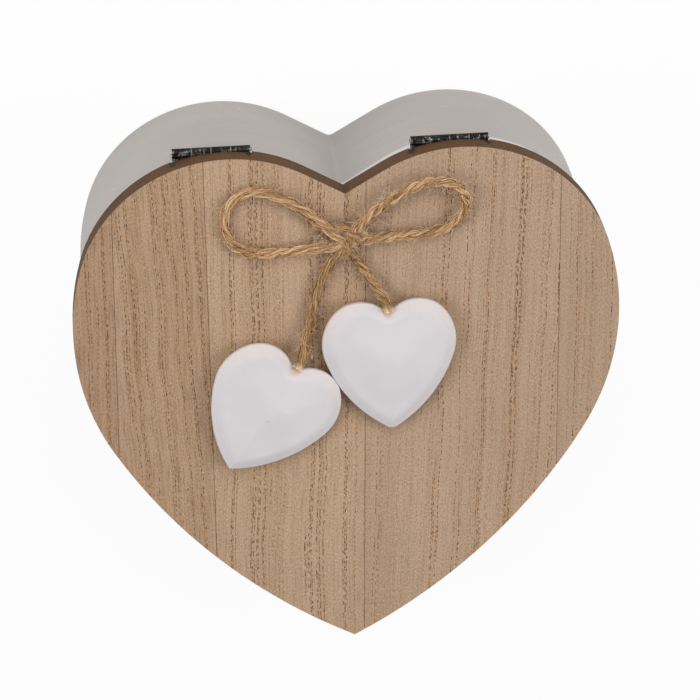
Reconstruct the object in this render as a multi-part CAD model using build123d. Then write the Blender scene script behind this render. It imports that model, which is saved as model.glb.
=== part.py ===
from build123d import *
import os
from math import atan2, cos, degrees, radians, sin, sqrt, tan

os.makedirs("parts", exist_ok=True)

# Lid outline, a heart. Each side has a straight flank at the notch, then lobe, shoulder and side arcs, all
# tangent. The flank has its run across the lid, and the lobe's radius fits what is left of the width. The
# angles say where the flank leaves the notch and where one arc hands over to the next.
lid_width = 180.0
flank_run = 12.74
shoulder_radius = 85.0
side_radius = 196.0
flank_angle = 30.0
shoulder_angle = 17.0
side_angle = 30.0

# Lid: a fibreboard core faced with veneer staves. On the lid's widest line, the outer joints are placed from
# the lid's edges and the inner joints from its middle, and each joint has its own lean.
core_thickness = 7.7
veneer_thickness = 0.6
veneer_joint_gap = 0.2
edge_stave_left = 13.7
edge_stave_right = 20.1
inner_joint_left = -45.7
inner_joint_right = 5.8
veneer_joint_leans = (-1.2, -0.3, -1.2, -0.5)

# Wall: two bent strips under the lid, which overhangs them and closes with a small gap
wall_height = 52.7
wall_thickness = 7.0
wall_notch_radius = 2.5
wall_tip_radius = 1.5
wall_foot_radius = 1.0
lid_overhang = 3.6
lid_gap = 0.3

# Base panel, let in between the strips
base_thickness = 4.0
base_clearance = 0.1

# Butt hinges: the axis is at the lid's edge or stands off it, the barrel turns in a groove there, and each
# hinge sits a little off the top of its lobe
hinge_length = 25.4
hinge_left_offset = -4.3
hinge_right_offset = -3.1
hinge_standoff = 0.0
knuckle_count = 4
knuckle_radius = 1.3
knuckle_gap = 0.15
barrel_clearance = 0.2
pin_radius = 0.6
pin_clearance = 0.05
pin_end = 0.4
pin_round = 0.2
leaf_margin = 0.6
leaf_thickness = 0.8
leaf_gap = 0.4
leaf_relief = 0.3
mortise_end = 0.4
mortise_clearance = 0.3

# Countersunk hinge screws, in the middle of the wall's thickness. The lid keeps wood over their points.
screw_pitch = 14.0
screw_cover = 1.2
screw_point = 1.6
screw_tip_radius = 0.2
screw_head_radius = 1.5
screw_head_height = 0.7
screw_shank_radius = 0.8
screw_slot_width = 0.35
screw_slot_depth = 0.3
screw_clearance = 0.05

# Twine bow: the knot sits on the lid, the loops start and end inside it, each tail turns beside it.
# The knot's place is from the middle of the lid's widest line, and angles are about the knot.
twine_radius = 2.0
knot_x = 0.3
knot_y = 30.8
knot_radius = 5.6
knot_middle = 3.2
knot_half_height = 3.9
loop_hold = 0.9
loop_rise = 1.2
loop_left_angles = (142.3, 188.5)
loop_right_angles = (69.1, 13.8)
tail_left_angle = 225.0
tail_right_angle = 294.0
tail_knot_gap = 0.4
tail_lid_gap = 0.3
bend_share = 0.45

# Routes of the twine between its ends: x and y from the knot, and the clear height under the twine
loop_left_route = (
    (-11.8, 10.7, 2.0),
    (-19.8, 16.5, 1.2),
    (-29.3, 20.2, 0.6),
    (-38.3, 16.6, 0.3),
    (-40.3, 7.6, 0.2),
    (-36.8, -0.6, 0.3),
    (-28.3, -2.8, 0.8),
    (-16.3, -1.4, 1.7),
)
loop_right_route = (
    (9.1, 11.7, 3.0),
    (17.3, 17.8, 3.8),
    (27.3, 22.0, 4.2),
    (37.1, 19.5, 3.6),
    (40.3, 11.5, 2.6),
    (35.0, 4.1, 1.4),
    (25.5, 1.5, 0.8),
    (15.3, 1.8, 1.5),
)
tail_left_route = (
    (-9.2, -12.2, 0.2),
    (-11.3, -19.4, 0.25),
    (-12.8, -26.8, 0.7),
    (-14.6, -34.0, 1.8),
)
tail_right_route = (
    (6.3, -11.3, 0.3),
    (8.9, -15.4, 0.8),
    (11.0, -19.2, 2.0),
)

# Wooden hearts on the tails: outline as the lid's, rounded tip and notch, pillowed edges and a twine hole.
# The middle of the pair is placed from the knot, and the hearts lie apart by shares of their own width.
charm_width = 44.1
charm_flank_run = 2.95
charm_shoulder_radius = 17.0
charm_side_radius = 47.0
charm_flank_angle = 38.0
charm_shoulder_angle = 40.0
charm_side_angle = 17.0
charm_thickness = 9.0
charm_tip_radius = 3.4
charm_notch_radius = 1.5
charm_edge_radius = 3.0
charm_lid_gap = 0.3
charm_hole_clearance = 0.15
charm_hole_depth = 4.8
charm_hole_bottom = 1.8
charm_lead = 2.6
charm_pair_x = -6.0
charm_pair_y = -44.2
charm_spread_x = 0.4268
charm_spread_y = 0.193
charm_left_turn = -32.9
charm_right_turn = 0.8

# Sizes that follow from those above
screw_setback = hinge_standoff + lid_overhang + wall_thickness / 2
screw_length = core_thickness - screw_cover
leaf_width = screw_setback + screw_head_radius + leaf_margin
hole_radius = twine_radius + charm_hole_clearance
on_middle_line = 0.001


# Outlines
def polar(radius, angle):
    return Vector(radius * cos(radians(angle)), radius * sin(radians(angle)))


def lobe_radius(shape):
    """Radius of the lobe that joins the flank to the shoulder."""
    width, run, shoulder, _, flank, shoulder_turn, _ = shape
    room = width / 2 - shoulder * (1 - cos(radians(shoulder_turn))) - run
    return room / (sin(radians(flank)) + cos(radians(shoulder_turn)))


def heart_frame(shape, inset):
    """Arc centres, start of the lobe, notch and tip of a heart's right half, drawn in by inset."""
    width, _, shoulder, side, flank, shoulder_turn, side_turn = shape
    lobe = lobe_radius(shape)
    shoulder_centre = Vector(width / 2 - shoulder, 0)
    lobe_centre = shoulder_centre + polar(shoulder - lobe, shoulder_turn)
    side_centre = shoulder_centre - polar(side - shoulder, -side_turn)
    lobe_start = lobe_centre + polar(lobe - inset, 90 + flank)
    notch = Vector(0, lobe_start.Y - lobe_start.X * tan(radians(flank)))
    tip = Vector(0, side_centre.Y - sqrt((side - inset) ** 2 - side_centre.X ** 2))
    return lobe_centre, shoulder_centre, side_centre, lobe_start, notch, tip


def heart_face(shape, inset=0.0):
    """Flat heart face: two mirrored halves of one straight flank and three tangent arcs."""
    _, _, shoulder, side, flank, shoulder_turn, side_turn = shape
    lobe = lobe_radius(shape)
    lobe_centre, shoulder_centre, side_centre, lobe_start, notch, tip = heart_frame(shape, inset)
    tip_angle = degrees(atan2(tip.Y - side_centre.Y, tip.X - side_centre.X))
    half = [
        Line(notch, lobe_start),
        CenterArc(lobe_centre, lobe - inset, 90 + flank, shoulder_turn - 90 - flank),
        CenterArc(shoulder_centre, shoulder - inset, shoulder_turn, -side_turn - shoulder_turn),
        CenterArc(side_centre, side - inset, -side_turn, tip_angle + side_turn),
    ]
    return make_face(half + [mirror(edge, about=Plane.YZ) for edge in half])


def rounded_heart(shape, inset, tip_radius, notch_radius):
    """Heart face with its tip and its notch, the two corners on its middle line, rounded."""
    face = heart_face(shape, inset)
    corners = face.vertices().filter_by(lambda corner: abs(corner.X) < on_middle_line).sort_by(Axis.Y)
    face = fillet(corners[0], tip_radius)
    corners = face.vertices().filter_by(lambda corner: abs(corner.X) < on_middle_line)
    return fillet(corners[0], notch_radius)


lid_shape = (
    lid_width, flank_run, shoulder_radius, side_radius, flank_angle, shoulder_angle, side_angle,
)
charm_shape = (
    charm_width, charm_flank_run, charm_shoulder_radius, charm_side_radius,
    charm_flank_angle, charm_shoulder_angle, charm_side_angle,
)

# Heights above the floor, and the shift along Y that centres the closed box, hinges included, on the origin
lid_bottom = wall_height + lid_gap
veneer_bottom = lid_bottom + core_thickness
lid_top = veneer_bottom + veneer_thickness
lid_lobe, _, _, _, _, lid_tip = heart_frame(lid_shape, 0.0)
lobe_top = lid_lobe.Y + lobe_radius(lid_shape)
lid_shift = -(lobe_top + hinge_standoff + knuckle_radius + lid_tip.Y) / 2
hinge_y = lobe_top + hinge_standoff + lid_shift
hinge_z = wall_height + lid_gap / 2
hinge_middles = {"left": hinge_left_offset - lid_lobe.X, "right": hinge_right_offset + lid_lobe.X}
lid_place = Pos(0, lid_shift, 0)
parts = {}


# Hinges: leaves with alternating knuckles, folded face to face about the pin
def box_between(low, high):
    middle = [(a + b) / 2 for a, b in zip(low, high)]
    return Pos(*middle) * Box(*[b - a for a, b in zip(low, high)])


def rod_along_x(radius, x_low, x_high):
    return Pos((x_low + x_high) / 2, hinge_y, hinge_z) * Rot(0, 90, 0) * Cylinder(radius, x_high - x_low)


def countersink(growth):
    """Head, shank and point of a screw that points down from its seat, larger by growth all round."""
    shank_radius = screw_shank_radius + growth
    head = Pos(0, 0, -screw_head_height / 2) * Cone(
        shank_radius, screw_head_radius + growth, screw_head_height
    )
    shank_length = screw_length - screw_head_height - screw_point + growth
    shank = Pos(0, 0, -screw_head_height - shank_length / 2) * Cylinder(shank_radius, shank_length)
    point = Pos(0, 0, -screw_length - growth + screw_point / 2) * Cone(
        screw_tip_radius + growth, shank_radius, screw_point
    )
    return head + shank + point


def screw():
    slot = Pos(0, 0, -screw_slot_depth / 2) * Box(
        2 * screw_head_radius, screw_slot_width, screw_slot_depth
    )
    return countersink(0.0) - slot


def screw_places(middle, side):
    """Seats of one leaf's screws: side -1 points them down into the wall, side 1 up into the lid."""
    seat_height = hinge_z + side * leaf_gap / 2
    turn = Rot(0 if side < 0 else 180, 0, 0)
    return [
        Pos(middle + end * screw_pitch / 2, hinge_y - screw_setback, seat_height) * turn
        for end in (-1, 1)
    ]


def hinge_leaf(middle, first_knuckle, side):
    """One leaf: side -1 lies in the wall's rim, side 1 under the lid. Every second knuckle is its own."""
    x_low = middle - hinge_length / 2
    knuckle_pitch = hinge_length / knuckle_count
    z_faces = sorted((hinge_z + side * leaf_gap / 2, hinge_z + side * (leaf_gap / 2 + leaf_thickness)))
    plate_edge = hinge_y - knuckle_radius - leaf_relief
    leaf = box_between(
        (x_low, hinge_y - leaf_width, z_faces[0]),
        (x_low + hinge_length, plate_edge, z_faces[1]),
    )
    for index in range(first_knuckle, knuckle_count, 2):
        start = x_low + index * knuckle_pitch + knuckle_gap / 2
        end = start + knuckle_pitch - knuckle_gap
        leaf += box_between((start, plate_edge, z_faces[0]), (end, hinge_y, z_faces[1]))
        leaf += rod_along_x(knuckle_radius, start, end)
    leaf -= rod_along_x(pin_radius + pin_clearance, x_low, x_low + hinge_length)
    for place in screw_places(middle, side):
        leaf -= place * countersink(screw_clearance)
    return leaf


def mortise(middle, side):
    """Pocket that a leaf lies in: from its far edge out past the barrel, open towards the other leaf."""
    reach = hinge_length / 2 + mortise_end
    far_edge = hinge_y - leaf_width - mortise_clearance
    z_faces = sorted((hinge_z, hinge_z + side * (leaf_gap / 2 + leaf_thickness)))
    return box_between(
        (middle - reach, far_edge, z_faces[0]),
        (middle + reach, hinge_y + knuckle_radius, z_faces[1]),
    )


def cut_for_hinges(body, side):
    """Mortises, barrel grooves and screw holes in the wood that one side's leaves are let into."""
    reach = hinge_length / 2 + mortise_end
    for middle in hinge_middles.values():
        body -= mortise(middle, side)
        body -= rod_along_x(knuckle_radius + barrel_clearance, middle - reach, middle + reach)
        for place in screw_places(middle, side):
            body -= place * countersink(screw_clearance)
    return body


screws = {-1: [], 1: []}
for name, middle in hinge_middles.items():
    parts[f"hinge_{name}_wall_leaf"] = hinge_leaf(middle, 0, -1)
    parts[f"hinge_{name}_lid_leaf"] = hinge_leaf(middle, 1, 1)
    pin_reach = hinge_length / 2 + pin_end
    pin = rod_along_x(pin_radius, middle - pin_reach, middle + pin_reach)
    parts[f"hinge_{name}_pin"] = fillet(pin.edges().filter_by(GeomType.CIRCLE), pin_round)
    for side in (-1, 1):
        screws[side] += [place * screw() for place in screw_places(middle, side)]
parts["wall_hinge_screws"] = Compound(children=screws[-1])
parts["lid_hinge_screws"] = Compound(children=screws[1])

# Wall: a heart-shaped ring with its notch, tip and foot rounded outside, parted at the notch and the tip
wall_outline = rounded_heart(lid_shape, lid_overhang, wall_tip_radius, wall_notch_radius)
wall_block = extrude(wall_outline, wall_height)
foot_edges = wall_block.faces().sort_by(Axis.Z)[0].edges()
wall_block = fillet(foot_edges, wall_foot_radius)
hollow = extrude(heart_face(lid_shape, lid_overhang + wall_thickness), wall_height)
ring = cut_for_hinges(lid_place * (wall_block - hollow), -1)
parts["wall_left"] = split(ring, bisect_by=Plane.YZ, keep=Keep.BOTTOM)
parts["wall_right"] = split(ring, bisect_by=Plane.YZ, keep=Keep.TOP)

# Base panel
base_inset = lid_overhang + wall_thickness + base_clearance
parts["base_panel"] = lid_place * extrude(heart_face(lid_shape, base_inset), base_thickness)

# Lid core and its veneer staves
lid_face = heart_face(lid_shape)
core = lid_place * Pos(0, 0, lid_bottom) * extrude(lid_face, core_thickness)
parts["lid_core"] = cut_for_hinges(core, 1)


def joint_x(joint, y):
    """Where a veneer joint is at a distance y from the lid's widest line."""
    place, lean = joint
    return place - y * tan(radians(lean))


joint_places = (
    edge_stave_left - lid_width / 2, inner_joint_left, inner_joint_right, lid_width / 2 - edge_stave_right,
)
stave_reach = 2 * lid_width
stave_edges = [(-stave_reach, 0.0), *zip(joint_places, veneer_joint_leans), (stave_reach, 0.0)]
for index in range(len(stave_edges) - 1):
    left, right = stave_edges[index], stave_edges[index + 1]
    corners = [
        (joint_x(left, -stave_reach) + veneer_joint_gap / 2, -stave_reach),
        (joint_x(right, -stave_reach) - veneer_joint_gap / 2, -stave_reach),
        (joint_x(right, stave_reach) - veneer_joint_gap / 2, stave_reach),
        (joint_x(left, stave_reach) + veneer_joint_gap / 2, stave_reach),
    ]
    strip = lid_face & make_face(Polyline(*corners, close=True))
    stave = extrude(strip, veneer_thickness)
    parts[f"veneer_stave_{index + 1}"] = lid_place * Pos(0, 0, veneer_bottom) * stave

# Twine: tubes along straight runs joined by arcs that take a share of the shorter run
lid_surface = Pos(0, lid_shift, lid_top)


def twine_tube(name, points):
    points = [Vector(*point) for point in points]
    runs = [end - start for start, end in zip(points, points[1:])]
    radii = []
    for before, after in zip(runs, runs[1:]):
        half_turn = radians(before.get_angle(after)) / 2
        radii.append(bend_share * min(before.length, after.length) / tan(half_turn))
    path = FilletPolyline(*points, radius=radii)
    tube = sweep(Plane(origin=path @ 0, z_dir=path % 0) * Circle(twine_radius), path=path)
    section = Circle(twine_radius).area
    print(name, "length", round(path.length, 1), "radii", [round(radius, 1) for radius in radii])
    print(name, "volume against section times length", round(tube.volume / (section * path.length), 4))
    return tube


def beside_knot(distance, angle, height):
    offset = polar(distance, angle)
    return (knot_x + offset.X, knot_y + offset.Y, height)


def over_lid(route):
    """Points of a route, in the lid's own place and at the twine's middle."""
    return [(knot_x + x, knot_y + y, twine_radius + clear) for x, y, clear in route]


def bow_loop(name, angles, route):
    """Loop of the bow, with both ends inside the knot."""
    start, end = [
        beside_knot(loop_hold * knot_radius, angle, knot_middle + loop_rise) for angle in angles
    ]
    return lid_surface * twine_tube(name, [start, *over_lid(route), end])


knot = Pos(knot_x, knot_y, knot_middle) * scale(
    Sphere(1.0), by=(knot_radius, knot_radius, knot_half_height)
)
above_lid = box_between(
    (knot_x - knot_radius, knot_y - knot_radius, 0.0),
    (knot_x + knot_radius, knot_y + knot_radius, knot_middle + knot_half_height),
)
parts["twine_knot"] = lid_surface * (knot & above_lid)
parts["twine_loop_left"] = bow_loop("twine_loop_left", loop_left_angles, loop_left_route)
parts["twine_loop_right"] = bow_loop("twine_loop_right", loop_right_angles, loop_right_route)

# Wooden hearts, and the tails that end in their holes
charm_middle = charm_lid_gap + charm_thickness / 2
charm_notch = heart_frame(charm_shape, 0.0)[4]


def wooden_heart():
    """Pillowed heart that lies flat, drilled from its notch towards its tip."""
    face = rounded_heart(charm_shape, 0.0, charm_tip_radius, charm_notch_radius)
    body = Pos(0, 0, -charm_thickness / 2) * extrude(face, charm_thickness)
    rims = body.faces().filter_by(Axis.Z).edges()
    body = fillet(rims, charm_edge_radius)
    hole_middle = charm_notch.Y + (charm_lead - charm_hole_depth) / 2
    hole = Rot(90, 0, 0) * Cylinder(hole_radius, charm_lead + charm_hole_depth)
    return body - Pos(0, hole_middle, 0) * hole


for name, side, turn, angle, route in (
    ("left", -1, charm_left_turn, tail_left_angle, tail_left_route),
    ("right", 1, charm_right_turn, tail_right_angle, tail_right_route),
):
    charm_x = knot_x + charm_pair_x + side * charm_spread_x * charm_width
    charm_y = knot_y + charm_pair_y + side * charm_spread_y * charm_width
    charm_place = Pos(charm_x, charm_y, charm_middle) * Rot(0, 0, turn)
    parts[f"heart_{name}"] = lid_surface * charm_place * wooden_heart()
    pivot_distance = knot_radius + twine_radius + tail_knot_gap
    pivot = beside_knot(pivot_distance, angle, twine_radius + tail_lid_gap)
    lead_in = charm_place * Pos(0, charm_notch.Y + charm_lead, 0)
    tail_end = charm_place * Pos(0, charm_notch.Y - charm_hole_depth + charm_hole_bottom, 0)
    points = [pivot, *over_lid(route), lead_in.position, tail_end.position]
    tail = twine_tube(f"twine_tail_{name}", points)
    parts[f"twine_tail_{name}"] = lid_surface * (tail + Pos(*pivot) * Sphere(twine_radius))
    print("tail pivot", name, "x", round(pivot[0], 2), "y", round(pivot[1] + lid_shift, 2))

for name, part in parts.items():
    export_step(part, f"parts/{name}.step")
print("hinge axis y", round(hinge_y, 3), "z", round(hinge_z, 3), "lid shift", round(lid_shift, 3))
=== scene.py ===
import math

import bpy
from mathutils import Matrix, Vector


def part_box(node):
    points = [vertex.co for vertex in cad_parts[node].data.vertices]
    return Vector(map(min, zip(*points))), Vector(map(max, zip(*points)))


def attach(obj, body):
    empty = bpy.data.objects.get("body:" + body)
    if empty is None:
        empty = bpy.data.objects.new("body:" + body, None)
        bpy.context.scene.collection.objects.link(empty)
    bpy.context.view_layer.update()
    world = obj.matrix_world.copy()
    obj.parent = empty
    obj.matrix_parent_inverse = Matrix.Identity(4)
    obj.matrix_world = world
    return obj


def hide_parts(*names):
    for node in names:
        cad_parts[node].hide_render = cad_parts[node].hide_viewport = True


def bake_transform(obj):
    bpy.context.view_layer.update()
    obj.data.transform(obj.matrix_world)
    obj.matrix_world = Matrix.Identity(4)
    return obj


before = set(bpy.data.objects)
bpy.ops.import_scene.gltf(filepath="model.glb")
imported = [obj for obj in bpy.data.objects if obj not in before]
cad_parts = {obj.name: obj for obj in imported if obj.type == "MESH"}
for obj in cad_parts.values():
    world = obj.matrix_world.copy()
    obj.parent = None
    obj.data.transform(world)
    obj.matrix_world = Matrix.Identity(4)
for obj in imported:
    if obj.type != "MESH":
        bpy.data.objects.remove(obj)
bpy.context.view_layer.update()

# Wall and base
# Two strips of thin wood bent to the halves of a heart and glued at notch and tip, with a floor panel let in.
# The brushed white paint has a few lumps. Outside, a whiter band under the lid that widens towards the right
# is a painted highlight.


def colour(red, green, blue):
    """A colour given as 0 to 255 values, as the linear RGBA that a socket takes."""
    channels = []
    for value in (red, green, blue):
        share = value / 255
        channels.append(share / 12.92 if share <= 0.04045 else ((share + 0.055) / 1.055) ** 2.4)
    return (*channels, 1.0)


def feed(tree, node, inputs):
    """Links each input of a node to a socket or sets it to a constant."""
    for key, value in inputs.items():
        if isinstance(value, bpy.types.NodeSocket):
            tree.links.new(value, node.inputs[key])
        else:
            node.inputs[key].default_value = value


def add_node(tree, kind, inputs=None, **settings):
    """A new node with its settings and inputs."""
    made = tree.nodes.new(kind)
    for name, value in settings.items():
        setattr(made, name, value)
    feed(tree, made, inputs or {})
    return made


def maths(tree, operation, first, second=0.0, third=0.0):
    """The result of one Math node."""
    return add_node(tree, "ShaderNodeMath", {0: first, 1: second, 2: third}, operation=operation).outputs[0]


def times(tree, first, second):
    """The product of two numbers."""
    return maths(tree, "MULTIPLY", first, second)


def vector_maths(tree, operation, first, second=(0.0, 0.0, 0.0)):
    """The outputs of one Vector Math node."""
    return add_node(tree, "ShaderNodeVectorMath", {0: first, 1: second}, operation=operation).outputs


def axes_of(tree, vector):
    """The three numbers of a vector."""
    return add_node(tree, "ShaderNodeSeparateXYZ", {"Vector": vector}).outputs


def remap(tree, value, low, high, new_low=0.0, new_high=1.0, smooth=False):
    """A value moved from one range to another and held inside it."""
    inputs = {"Value": value, "From Min": low, "From Max": high, "To Min": new_low, "To Max": new_high}
    kind = "SMOOTHSTEP" if smooth else "LINEAR"
    return add_node(tree, "ShaderNodeMapRange", inputs, interpolation_type=kind).outputs["Result"]


def mix_colours(tree, share, first, second):
    """Two colours mixed by a share."""
    return add_node(tree, "ShaderNodeMix", {0: share, 6: first, 7: second}, data_type="RGBA").outputs[2]


def noise(tree, coordinates, detail, roughness=0.5):
    """A noise value at the coordinates' own scale."""
    inputs = {"Vector": coordinates, "Scale": 1.0, "Detail": detail, "Roughness": roughness}
    return add_node(tree, "ShaderNodeTexNoise", inputs).outputs[0]


def pattern(tree, coordinates, scale, detail, roughness=0.5, shift=(0.0, 0.0, 0.0)):
    """A noise value at coordinates that are scaled per axis and shifted."""
    inputs = {"Vector": coordinates, "Location": shift, "Scale": scale}
    stretched = add_node(tree, "ShaderNodeMapping", inputs).outputs["Vector"]
    return noise(tree, stretched, detail, roughness)


def bumped(tree, height, distance, strength, normal=None):
    """A normal with a relief of the given depth in metres."""
    inputs = {"Height": height, "Distance": distance, "Strength": strength}
    if normal is not None:
        inputs["Normal"] = normal
    return add_node(tree, "ShaderNodeBump", inputs).outputs["Normal"]


def new_finish(name, specular):
    """A new material, its tree and the object coordinates."""
    material = bpy.data.materials.new(name)
    material.use_nodes = True
    tree = material.node_tree
    tree.nodes["Principled BSDF"].inputs["Specular IOR Level"].default_value = specular
    coordinates = add_node(tree, "ShaderNodeTexCoord").outputs["Object"]
    return material, tree, coordinates


def finished(material, colours, roughness, relief, metallic=0.0, sheen=0.0):
    """The material with its shader's inputs linked or set."""
    tree = material.node_tree
    inputs = {"Base Color": colours, "Roughness": roughness, "Normal": relief, "Metallic": metallic}
    inputs["Sheen Weight"] = sheen
    feed(tree, tree.nodes["Principled BSDF"], inputs)
    return material


band_width = 0.0096
band_tilt = 0.042
band_waver = 0.002
band_edge = 0.0007
band_share = 0.7
wall_middle = (0.0, 0.01, 0.0)


def wall_paint():
    material, tree, place = new_finish("wall_paint", specular=0.4)
    axes = axes_of(tree, place)
    bands = pattern(tree, place, (7.0, 7.0, 260.0), 3.0, 0.6)
    patches = pattern(tree, place, (28.0, 28.0, 40.0), 4.0, 0.6)
    grain = pattern(tree, place, (900.0, 900.0, 900.0), 2.0)
    lump_cells = add_node(tree, "ShaderNodeTexVoronoi", {"Vector": place, "Scale": 210.0, "Randomness": 1.0})
    lumps = remap(tree, lump_cells.outputs["Distance"], 0.1, 0.2, 1.0, 0.0, True)
    lumps = times(tree, lumps, remap(tree, patches, 0.55, 0.62))
    tone = remap(tree, maths(tree, "MULTIPLY_ADD", bands, 0.5, patches), 0.5, 1.0)
    paint = mix_colours(tree, tone, colour(176, 170, 164), colour(189, 183, 177))
    paint = mix_colours(tree, remap(tree, patches, 0.45, 0.65, 0.0, 0.4), paint, colour(191, 180, 177))
    # The whiter band under the lid, only on the outside and widening towards the right, is a painted
    # highlight.
    width = maths(tree, "MULTIPLY_ADD", axes["X"], band_tilt, band_width)
    width = maths(tree, "MULTIPLY_ADD", maths(tree, "SUBTRACT", patches, 0.5), band_waver, width)
    under_rim = maths(tree, "SUBTRACT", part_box("wall_right")[1].z, axes["Z"])
    in_band = maths(tree, "SUBTRACT", width, under_rim)
    band = remap(tree, in_band, -band_edge, band_edge, 0.0, band_share, True)
    facing = add_node(tree, "ShaderNodeTexCoord").outputs["Normal"]
    outward = vector_maths(tree, "SUBTRACT", place, wall_middle)[0]
    turned_out = vector_maths(tree, "DOT_PRODUCT", facing, outward)["Value"]
    band = times(tree, band, maths(tree, "GREATER_THAN", turned_out, 0.0))
    paint = mix_colours(tree, band, paint, colour(232, 229, 229))
    paint = mix_colours(tree, times(tree, lumps, 0.35), paint, colour(240, 238, 236))
    relief = bumped(tree, bands, 0.0003, 0.2)
    relief = bumped(tree, lumps, 0.0003, 0.8, relief)
    relief = bumped(tree, grain, 0.00008, 0.7, relief)
    return finished(material, paint, remap(tree, patches, 0.3, 0.7, 0.42, 0.58), relief)


def dress(node_names, material):
    """Gives CAD nodes that keep their shape a finish in every slot."""
    for name in node_names:
        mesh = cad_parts[name].data
        if not mesh.materials:
            mesh.materials.append(material)
        for index in range(len(mesh.materials)):
            mesh.materials[index] = material


dress(["wall_left", "wall_right", "base_panel"], wall_paint())

# Hinges and their screws
# Two small steel butt hinges, each let into the wall's rim and the lid and held by four little countersunk
# screws. The steel is blackened, and bright on top of the barrel and at the ends of the knuckles: partly
# rubbed wear, partly a painted highlight where the light falls on the barrel's top.

knuckle_pitch = 0.00635
pin_overhang = 0.0004
rubbed_and_sheen_heights = (0.0002, 0.0011)


def hinge_steel(name, pin_node):
    """Blackened steel for one hinge, its wear and a painted highlight on top placed from the pin."""
    material, tree, place = new_finish(name, specular=0.25)
    pin_low, pin_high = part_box(pin_node)
    pin_height = (pin_low.z + pin_high.z) / 2
    axes = axes_of(tree, place)
    blotches = pattern(tree, place, (420.0, 900.0, 900.0), 4.0, 0.65)
    scratches = pattern(tree, place, (3200.0, 600.0, 600.0), 3.0, 0.65)
    handled = pattern(tree, place, (130.0, 0.0, 0.0), 1.0)
    lit_top_low, lit_top_high = [pin_height + height for height in rubbed_and_sheen_heights]
    # Only the barrel's top gets bright steel: a painted highlight where light falls, mixed with rubbed wear.
    lit_top = remap(tree, axes["Z"], lit_top_low, lit_top_high, 0.0, 1.0, True)
    rubbed_and_sheen = remap(tree, maths(tree, "ADD", blotches, scratches), 0.98, 1.2, 0.0, 0.8, True)
    rubbed_and_sheen = times(tree, rubbed_and_sheen, lit_top)
    rubbed_and_sheen = times(tree, rubbed_and_sheen, remap(tree, handled, 0.34, 0.58))
    knuckle = maths(tree, "SUBTRACT", axes["X"], pin_low.x + pin_overhang)
    from_end = maths(tree, "PINGPONG", maths(tree, "DIVIDE", knuckle, knuckle_pitch), 0.5)
    # The bright knuckle ends are partly bare steel, partly a painted highlight on their top.
    bare_and_lit_ends = times(tree, remap(tree, from_end, 0.012, 0.03, 1.0, 0.0), lit_top)
    black = mix_colours(tree, blotches, colour(8, 7, 7), colour(26, 22, 21))
    steel = mix_colours(tree, maths(tree, "MAXIMUM", rubbed_and_sheen, bare_and_lit_ends), black, colour(186, 182, 176))
    relief = bumped(tree, scratches, 0.00006, 0.7)
    return finished(material, steel, remap(tree, scratches, 0.3, 0.7, 0.4, 0.6), relief, metallic=0.3)


def pin_steel():
    """The bare wire of the pins and the screws."""
    material, tree, place = new_finish("pin_steel", specular=0.5)
    drawn = pattern(tree, place, (400.0, 3000.0, 3000.0), 3.0, 0.6)
    tarnish = pattern(tree, place, (900.0, 900.0, 900.0), 3.0, 0.6)
    wire = mix_colours(tree, remap(tree, tarnish, 0.4, 0.65), colour(206, 198, 190), colour(120, 110, 102))
    relief = bumped(tree, drawn, 0.00004, 0.6)
    return finished(material, wire, remap(tree, drawn, 0.3, 0.7, 0.3, 0.5), relief, metallic=0.8)


for side in ("left", "right"):
    steel = hinge_steel("hinge_steel_" + side, "hinge_" + side + "_pin")
    dress(["hinge_" + side + "_wall_leaf", "hinge_" + side + "_lid_leaf"], steel)
dress(["hinge_left_pin", "hinge_right_pin", "wall_hinge_screws", "lid_hinge_screws"], pin_steel())

# Lid core
# A heart sawn out of thin fibreboard. Its brown edge is left raw, with the fine specks of pressed fibre and
# the darker bands that a saw leaves. A dark spot at each end of the two hinges is a painted shade of the
# recess ends.

mortise_shade_places = [(-0.0549, 0.0556), (-0.0304, 0.0551), (0.0223, 0.0560), (0.0471, 0.0552)]
mortise_shade_reach = 0.0012
mortise_shade_solid_share = 0.7
mortise_shade_waver = 0.0012
mortise_shade_squeeze = 0.45
lid_back = (0.078, 0.080)


def combined(tree, x, y, z=0.0):
    """A vector of three numbers."""
    return add_node(tree, "ShaderNodeCombineXYZ", {"X": x, "Y": y, "Z": z}).outputs[0]


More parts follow.
